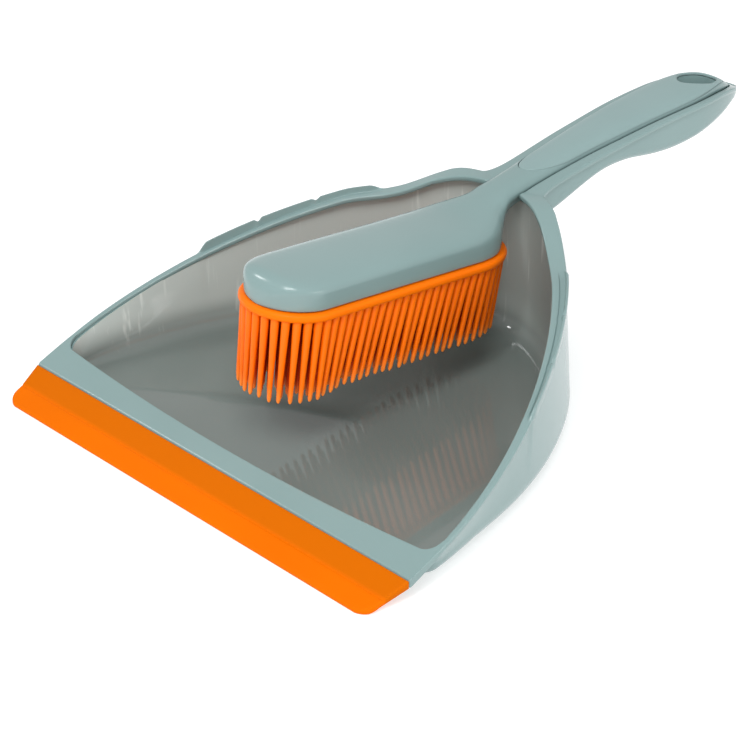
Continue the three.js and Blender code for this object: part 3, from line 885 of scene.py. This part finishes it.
def trough():
    """The handle's hollow underside and the seat in it for the brush."""
    ys = [*np.linspace(HANDLE_START_Y, 210, 17), *np.linspace(212, TOTAL_LENGTH - HANDLE_NOSE[0], 36)]
    ys = [*ys, *nose_ys(TOTAL_LENGTH - 0.2, *HANDLE_NOSE, 26)[:-1]]
    rings = []
    for y in ys:
        outer_half = max(0.3, float(flange_half_width(y) + 0.45 * flare(y)) - FLANGE_OVERHANG)
        high = float(seam_z(y)) - 0.7
        low = min(float(pan_under_z(y)), high - 0.6)
        outer = both_sides(hull_half(y, outer_half, low, high, 4))
        seat = min(max(0.1, float(seat_half_width(y))), outer_half - 0.15)
        floor = min(float(lerp(SEAT_FRONT_Z, low + HANDLE_WALL, ease(190, 200, y))), high - 0.2)
        inner = both_sides(hull_half(y, seat, floor, high, 3))
        rings.append([*outer, *inner[::-1]])
    return capped("trough", rings, grey_plastic, strips=True)


# ---- The hanging hole ----
def hole_outline(grow=0.0):
    turns = np.linspace(0, 2 * math.pi, 72, endpoint=False)
    c, s = np.cos(turns), np.sin(turns)
    x = (HOLE_HALF_WIDTH + grow) * np.sign(c) * np.abs(c) ** HOLE_POWER
    y = HOLE_Y + (HOLE_HALF_LENGTH + grow) * np.sign(s) * np.abs(s) ** HOLE_POWER
    return np.stack([x, y], 1)


def hole_cutter(surface_z, rounding):
    """Lens-shaped prism that flares out at the surface, which rounds the hole's edge."""
    rings = []
    for depth in (-6, 0.02):  # the first ring stands well above the surface
        plan = hole_outline(rounding - depth * 0.4 if depth < 0 else rounding)
        rings.append(np.column_stack([plan, surface_z(plan[:, 0], plan[:, 1]) - depth]))
    for turn in np.linspace(0, math.pi / 2, 6)[1:]:
        plan = hole_outline(rounding * (1 - math.sin(turn)))
        z = surface_z(plan[:, 0], plan[:, 1]) - rounding * (1 - math.cos(turn)) - 0.02
        rings.append(np.column_stack([plan, z]))
    rings.append(np.column_stack([hole_outline(), np.full(len(plan), 50.0)]))
    return capped("hole_cutter", rings, grey_plastic)


# ---- Brush ----
def brush_section(y):
    """Half width, underside, height of the widest place, crown and bottom half width at y."""
    from_front = y - HEAD_FRONT_Y
    rounding = 1
    if from_front < HEAD_ROUNDING:
        ahead = 1 - from_front / HEAD_ROUNDING
        rounding = (1 - ahead**HEAD_ROUNDING_POWER) ** (1 / HEAD_ROUNDING_POWER)
    front = HEAD_HALF_WIDTH
    if from_front < HEAD_HALF_WIDTH:
        front = math.sqrt(HEAD_HALF_WIDTH**2 - (HEAD_HALF_WIDTH - from_front) ** 2)
    behind = float(head_half_width(y) if y < NECK_Y else brush_half_width(y))
    width = front if y < HEAD_BACK_Y else behind * float(brush_nose(y, 0))
    in_head = 1 - float(ease(160, 185, y))
    low = float(head_plane(y) if y < HEAD_UNDER_END_Y else neck_under_z(y))
    crown = float(crown_z(y))
    if y < CROWN_START_Y:
        crown = float(head_plane(y)) + float(crown_z(CROWN_START_Y) - head_plane(CROWN_START_Y)) * rounding
    widest = lerp(float(seam_z(y)) - 0.5, low + HEAD_SIDE_HEIGHT * rounding, in_head)
    widest = min(widest, crown - 0.02)
    return width, min(low, widest), widest, crown, width * lerp(NECK_FOOT_SHARE, 1, in_head)


def brush_top(x, y):
    """Height of the brush's top surface."""
    def one(px, py):
        width, _, widest, crown, _ = brush_section(min(py, BRUSH_END_Y - 0.05))
        share = min(1, abs(px) / max(width, 0.01))
        return widest + (crown - widest) * (1 - share**CROSS_POWER) ** (1 / CROSS_POWER)

    return np.array([one(a, b) for a, b in zip(np.atleast_1d(x), np.atleast_1d(y))])


def grip_half_width(y, spare):
    """Half width of the cover's pocket, made smaller all round by spare."""
    front = GRIP_START_Y + spare
    if y <= front or y >= GRIP_END_Y - spare:
        return 0.0
    round_front = math.sqrt(1 - (1 - min(1, (y - front) / GRIP_ROUNDING)) ** 2)
    border = float(lerp(GRIP_BORDER, GRIP_EDGE, ease(200, 212, y)))
    half = (float(brush_half_width(y)) - border - spare) * round_front
    return half * float(nose(y, GRIP_END_Y - spare, *GRIP_NOSE))


def brush_ys():
    """Places of the brush's sections, closer together at its ends and at the pocket's."""
    head = HEAD_FRONT_Y + HEAD_HALF_WIDTH * (1 - np.cos(np.linspace(0.01, math.pi / 2, 34)))
    pocket = GRIP_START_Y + GRIP_ROUNDING * (1 - np.cos(np.linspace(0, math.pi / 2, 16)))
    tip = nose_ys(BRUSH_END_Y, *BRUSH_NOSE, 30)[:-1]
    ends = [GRIP_START_Y - 0.01, GRIP_START_Y + GAP, GRIP_END_Y - GAP, GRIP_END_Y + 0.01]
    middle = [*np.linspace(66, 150, 40), *np.linspace(151, 193, 50), *np.linspace(206, 286, 43)]
    return np.unique(np.concatenate([head, middle, pocket, tip, ends]))


def brush_shell():
    """Head and handle in one, with a shallow pocket on top for the soft cover."""
    rings = []
    for y in brush_ys():
        width, low, widest, crown, low_half = brush_section(y)
        pocket = grip_half_width(y, 0)
        right = [[0, low], [low_half * 0.5, low], [low_half * 0.85, low]]
        corner = min(BRUSH_CORNER_R, 0.3 * (widest - low), 0.3 * low_half)
        for turn in np.linspace(0, math.pi / 2, 5):
            right.append([low_half - corner * (1 - math.sin(turn)), low + corner * (1 - math.cos(turn))])
        right += [[lerp(low_half, width, t), lerp(low + corner, widest, t)] for t in (0.35, 0.7, 1)]
        flat = min(1, pocket / max(width, 0.01))
        top_angle = math.acos(min(1, flat ** (CROSS_POWER / 2)))
        for turn in np.linspace(0, top_angle, 16)[1:]:
            c, s = math.cos(turn) ** (2 / CROSS_POWER), math.sin(turn) ** (2 / CROSS_POWER)
            right.append([width * c, widest + (crown - widest) * s])
        deep = GRIP_THICKNESS if pocket > 0 else 0
        for share in np.linspace(1, 0, 9):
            x = pocket * share
            z = widest + (crown - widest) * (1 - (x / max(width, 0.01)) ** CROSS_POWER) ** (1 / CROSS_POWER)
            right.append([x, max(z - deep, low + 0.1)])
        half = np.array([(x, y, z) for x, z in right])
        rings.append(mirrored(half))
    return capped("brush_shell", rings, grey_plastic)


def brush_cover():
    """Soft cover let into the handle, with softened edges, standing proud of it by a hair."""
    front = GRIP_START_Y + GAP
    end = GRIP_END_Y - GAP
    start = front + 16 * (1 - np.cos(np.linspace(0.04, math.pi / 2, 22)))
    ys = np.array([*start, *np.linspace(front + 17, 286, 44), *nose_ys(end, *GRIP_NOSE, 24)[:-1]])
    shares = np.sin(np.linspace(-math.pi / 2, math.pi / 2, 33))
    top, under = [], []
    for y in ys:
        half = grip_half_width(y, GAP)
        xs = half * shares
        z = brush_top(xs, np.full_like(xs, y))
        inside = np.minimum(half - np.abs(xs), min(y - front, end - y))
        drop = GRIP_SOFT_DROP * (1 - np.clip(inside / GRIP_SOFT_EDGE, 0, 1)) ** 2
        top.append(np.column_stack([xs, np.full_like(xs, y), z - drop + GRIP_PROUD]))
        under.append(np.column_stack([xs, np.full_like(xs, y), z - GRIP_THICKNESS + GAP]))
    rings = [np.concatenate([t, u[::-1]]) for t, u in zip(top, under)]
    return capped("brush_cover", rings, soft_grip, strips=True, crease_deg=50)


# ---- Bristle block ----
def in_head(points):
    """From the head's own tilted plane to the shared millimetres."""
    p = np.asarray(points, float)
    c, s = math.cos(HEAD_TILT), math.sin(HEAD_TILT)
    y = HEAD_REF_Y + c * p[:, 1] - s * p[:, 2]
    z = HEAD_BASE_Z + s * p[:, 1] + c * p[:, 2]
    return np.column_stack([p[:, 0], y, z])


def head_outline(half_width):
    """Closed outline of the flange, or one inside it, in the head's own plane."""
    spare = FLANGE_HALF_WIDTH - half_width
    centre = HEAD_FRONT_Y + HEAD_HALF_WIDTH
    back_end = FLANGE_END_Y - spare
    front = np.linspace(math.pi, 2 * math.pi, 49)
    sides = np.linspace(centre, HEAD_BACK_Y, 30)[1:-1]
    back = np.linspace(0, math.pi, 49)
    parts = [
        np.stack([half_width * np.cos(front), centre + half_width * np.sin(front)], 1),
        np.stack([np.full_like(sides, half_width), sides], 1),
        np.stack([half_width * np.cos(back), HEAD_BACK_Y + (back_end - HEAD_BACK_Y) * np.sin(back)], 1),
        np.stack([np.full_like(sides, -half_width), sides[::-1]], 1),
    ]
    return np.concatenate(parts) - [0, HEAD_REF_Y]


def bristle_flange():
    """Thick plate under the head, rounded along both edges."""
    r = FLANGE_EDGE_R
    face_inset = 6  # of the rings that its flat faces are closed from
    rings = []
    for turn in np.linspace(0, math.pi / 2, 7):
        rings.append((r * (1 - math.sin(turn)), -GAP - r * (1 - math.cos(turn))))
    for turn in np.linspace(0, math.pi / 2, 7):
        rings.append((r * (1 - math.cos(turn)), -GAP - FLANGE_THICKNESS + r * (1 - math.sin(turn))))
    rows = []
    for inset, z in [(face_inset, -GAP), *rings, (face_inset, -GAP - FLANGE_THICKNESS)]:
        plan = head_outline(FLANGE_HALF_WIDTH - inset)
        rows.append(in_head(np.column_stack([plan, np.full(len(plan), z)])))
    surface = Surface()
    upper, lower = surface.grid(rows)
    surface.fan(upper)
    surface.fan(lower, turned=True)
    return surface.object("bristle_flange", [bristle_orange])


def bristle_roots():
    """Roots in rings that follow the flange's outline, in the head's own plane, with each one's ring."""
    roots = []
    for ring in range(BRISTLE_RINGS):
        outline = head_outline(FLANGE_HALF_WIDTH - BRISTLE_INSET - ring * BRISTLE_PITCH)
        closed = np.concatenate([outline, outline[:1]])
        run = np.concatenate([[0], np.cumsum(np.hypot(*np.diff(closed, axis=0).T))])
        count = round(run[-1] / BRISTLE_PITCH)
        places = (np.arange(count) + 0.5 * (ring % 2)) / count * run[-1]
        xs, ys = np.interp(places, run, closed[:, 0]), np.interp(places, run, closed[:, 1])
        roots += [(x, y, ring) for x, y in zip(xs, ys)]
    return roots


def bristle_lean(y):
    return BRISTLE_LEAN * ease(48, 88, y) * (1 - 0.7 * ease(148, 170, y))


def bristles():
    """Tapered round fingers with soft tips, each leaning a little its own way."""
    rng = np.random.default_rng(7)
    surface = Surface()
    ring_turns = np.linspace(0, 2 * math.pi, BRISTLE_SIDES, endpoint=False)
    circle = np.stack([np.cos(ring_turns), np.sin(ring_turns)], 1)
    root_z = -GAP - FLANGE_THICKNESS + BRISTLE_DEPTH
    shares, rings = [], []
    for x, y, ring in bristle_roots():
        from_lip = y + HEAD_REF_Y
        drop = BRISTLE_DROP + BRISTLE_EXTRA * (1 - float(ease(52, 85, from_lip)))
        length = (drop + root_z) * (1 + rng.uniform(-BRISTLE_LENGTH_SPREAD, BRISTLE_LENGTH_SPREAD))
        stray = rng.uniform(-BRISTLE_LEAN_SPREAD, BRISTLE_LEAN_SPREAD, 2)
        lean = np.array([0.0, -float(bristle_lean(from_lip)) * length]) + stray
        shape = [(t, lerp(BRISTLE_ROOT_R, BRISTLE_TIP_R, t)) for t in (0, 0.2, 0.4, 0.6, 0.8, 0.955)]
        shape += [(0.98, 0.8 * BRISTLE_TIP_R), (0.994, 0.5 * BRISTLE_TIP_R)]
        rows = []
        for t, radius in shape:
            plan = np.array([x, y]) + lean * t + circle * radius
            rows.append(in_head(np.column_stack([plan, np.full(BRISTLE_SIDES, root_z - t * length)])))
        _, tip = surface.grid(rows)
        surface.fan(tip, turned=True)
        shares += [t for t, _ in shape for _ in range(BRISTLE_SIDES)] + [1.0]
        rings += [float(ring)] * (len(shape) * BRISTLE_SIDES + 1)
    made = surface.object("bristles", [finger_orange], crease_deg=60)
    # The ring numbers feed the painted shade of the inner rings; along feeds the paler tips.
    for name, values in (("along", shares), ("ring", rings)):
        made.data.attributes.new(name, "FLOAT", "POINT").data.foreach_set("value", values)
    return made


# ---- Soft lip ----
def soft_lip():
    """Wiper lip: a wedge with a crease along it and rounded front corners."""
    back = BAND_FRONT_Y - GAP
    r = LIP_EDGE_R

    def half_width(y):
        if y < LIP_CORNER:
            rise = math.sqrt(LIP_CORNER**2 - (LIP_CORNER - y) ** 2)
            return LIP_HALF_WIDTH - LIP_CORNER + rise
        return lerp(LIP_HALF_WIDTH, PAN_HALF_WIDTH - 0.1, (y - LIP_CORNER) / (back - LIP_CORNER))

    def top(y):
        ahead = lerp(LIP_TOP_Z - 0.1, LIP_CREASE_Z, y / LIP_CREASE_Y)
        behind = lerp(LIP_CREASE_Z, BAND_Z, (y - LIP_CREASE_Y) / (BAND_FRONT_Y - LIP_CREASE_Y))
        groove = LIP_GROOVE * math.exp(-(((y - LIP_CREASE_Y) / LIP_GROOVE_WIDTH) ** 2))
        return (ahead if y < LIP_CREASE_Y else behind) - groove

    def under(y):
        high = BAND_Z - RAMP_THICKNESS
        return 0 if y < LIP_FOOT else lerp(0, high, (y - LIP_FOOT) / (BAND_FRONT_Y - LIP_FOOT))

    ys = [*(LIP_CORNER * (1 - np.cos(np.linspace(0.03, math.pi / 2, 22))))]
    ys += [*np.linspace(7.3, 8.2, 4), *np.linspace(8.4, 9.6, 13), *np.linspace(9.9, back - 0.3, 12), back]
    shares = np.sin(np.linspace(-math.pi / 2, math.pi / 2, 61))
    rings = []
    for y in ys:
        xs = half_width(y) * shares
        edge = np.minimum(half_width(y) - np.abs(xs), min(y, (back - y) * 3 + 0.15))
        inset = np.clip(edge / r, 0, 1)
        drop = min(r, 0.45 * (top(y) - under(y))) * (1 - np.sqrt(1 - (1 - inset) ** 2))
        upper = np.column_stack([xs, np.full_like(xs, y), top(y) - drop])
        lower = np.column_stack([xs, np.full_like(xs, y), under(y) + 0.4 * drop])
        rings.append(np.concatenate([upper, lower[::-1]]))
    return capped("front_lip", rings, lip_orange, strips=True, crease_deg=50)


# ---- Assembly ----
ABOVE_THE_HANDLE_Z = 110.0

handle_cutter = hole_cutter(brush_top, HOLE_ROUNDING)
trough_cutter = hole_cutter(lambda x, y: np.full(len(x), ABOVE_THE_HANDLE_Z), 0.0)

pan_trough = trough()
cut(pan_trough, trough_cutter)
pan_shell = joined("pan_shell", [ribbon(), scoop(), pan_trough])
lip = soft_lip()
shell = brush_shell()
cut(shell, handle_cutter)
cover = brush_cover()
cut(cover, handle_cutter, 50)
flange = bristle_flange()
fingers = bristles()
for cutter in (handle_cutter, trough_cutter):
    bpy.data.objects.remove(cutter)

PIECES = [
    (pan_shell, "pan", "pan_body", "grey_plastic"),
    (lip, "pan", "pan_lip", "orange_rubber"),
    (shell, "brush", "brush_body", "grey_plastic"),
    (cover, "brush", "brush_grip", "soft_grip"),
    (flange, "brush", "bristle_block", "orange_rubber"),
    (fingers, "brush", "bristle_block", "orange_rubber"),
]
for piece, body, node, slot in PIECES:
    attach(piece, body)
    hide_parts(node)


# ---- Stage ----
FLOOR_HALF_SIZE = 40.0  # metres
FLOOR_DROP = 0.0002
FLOOR_GLOW = 0.58
LENS_MM = 120.9815
CAMERA_AZIMUTH_DEG = 45.896
CAMERA_ELEVATION_DEG = 30
AIM = (0, 0, 0.04)  # the lamps face this point


def stage_floor():
    """Plain pale floor with a faint paper fibre."""
    material = bpy.data.materials.new("paper_floor")
    material.use_nodes = True
    nodes, links = material.node_tree.nodes, material.node_tree.links
    shader = nodes["Principled BSDF"]
    shader.inputs["Roughness"].default_value = 0.9
    place = nodes.new("ShaderNodeTexCoord")
    fibre = noise(nodes, links, place, 900, 2)
    ramp = spread(nodes, links, fibre, 0.54, 0.57)
    links.new(ramp.outputs["Result"], shader.inputs["Base Color"])
    shader.inputs["Emission Color"].default_value = (1, 1, 1, 1)
    shader.inputs["Emission Strength"].default_value = FLOOR_GLOW
    mesh = bpy.data.meshes.new("paper_floor")
    corners = [(x * FLOOR_HALF_SIZE, y * FLOOR_HALF_SIZE, 0) for x, y in ((-1, -1), (1, -1), (1, 1), (-1, 1))]
    mesh.from_pydata(corners, [], [(0, 1, 2, 3)])
    mesh.materials.append(material)
    made = bpy.data.objects.new("paper_floor", mesh)
    made.location.z = -FLOOR_DROP
    bpy.context.scene.collection.objects.link(made)


def soft_box(name, place, width, height, power):
    """A rectangular lamp that faces the set; sizes in metres, power in watts."""
    light = bpy.data.lights.new(name, "AREA")
    light.shape = "RECTANGLE"
    light.size = width
    light.size_y = height
    light.energy = power
    made = bpy.data.objects.new(name, light)
    made.location = place
    made.rotation_mode = "QUATERNION"
    made.rotation_quaternion = (Vector(AIM) - Vector(place)).to_track_quat("-Z", "Y")
    bpy.context.scene.collection.objects.link(made)


def camera():
    """Stands 30 degrees above the floor, off the pan's front right corner."""
    azimuth = math.radians(CAMERA_AZIMUTH_DEG)
    elevation = math.radians(CAMERA_ELEVATION_DEG)
    data = bpy.data.cameras.new("camera")
    data.sensor_width = 36
    data.lens = LENS_MM
    data.clip_end = 100
    made = bpy.data.objects.new("camera", data)
    made.location = Vector((0.6214, -0.4984 + LIP_Y, 0.5175))
    level = math.cos(elevation)
    back = Vector((math.sin(azimuth) * level, -math.cos(azimuth) * level, math.sin(elevation)))
    made.rotation_mode = "QUATERNION"
    made.rotation_quaternion = (-back).to_track_quat("-Z", "Y")
    bpy.context.scene.collection.objects.link(made)
    bpy.context.scene.camera = made


def lighting():
    """Even pale surroundings, a key lamp, a side lamp and two small lamps for the glints."""
    world = bpy.data.worlds.new("studio")
    bpy.context.scene.world = world
    world.use_nodes = True
    nodes, links = world.node_tree.nodes, world.node_tree.links
    place = nodes.new("ShaderNodeTexCoord")
    height = nodes.new("ShaderNodeSeparateXYZ")
    links.new(place.outputs["Generated"], height.inputs["Vector"])
    level = nodes.new("ShaderNodeMapRange")
    level.interpolation_type = "SMOOTHSTEP"
    level.inputs["From Max"].default_value = 0.9
    level.inputs["To Min"].default_value = 0.72
    level.inputs["To Max"].default_value = 0.66
    links.new(height.outputs["Z"], level.inputs["Value"])
    nodes["Background"].inputs["Color"].default_value = (1, 1, 1, 1)
    links.new(level.outputs["Result"], nodes["Background"].inputs["Strength"])
    soft_box("key", place=(0.45, -0.7, 1.2), width=0.7, height=0.5, power=9.5)
    soft_box("side", place=(1.2, 0.25, 0.42), width=0.5, height=0.3, power=2.5)
    soft_box("lamp", place=(0.35, -0.95, 1.0), width=0.1, height=0.1, power=2)
    soft_box("far_lamp", place=(-0.85, -0.6, 0.8), width=0.18, height=0.18, power=1.8)
    bpy.context.scene.view_settings.view_transform = "Standard"


stage_floor()
camera()
lighting()
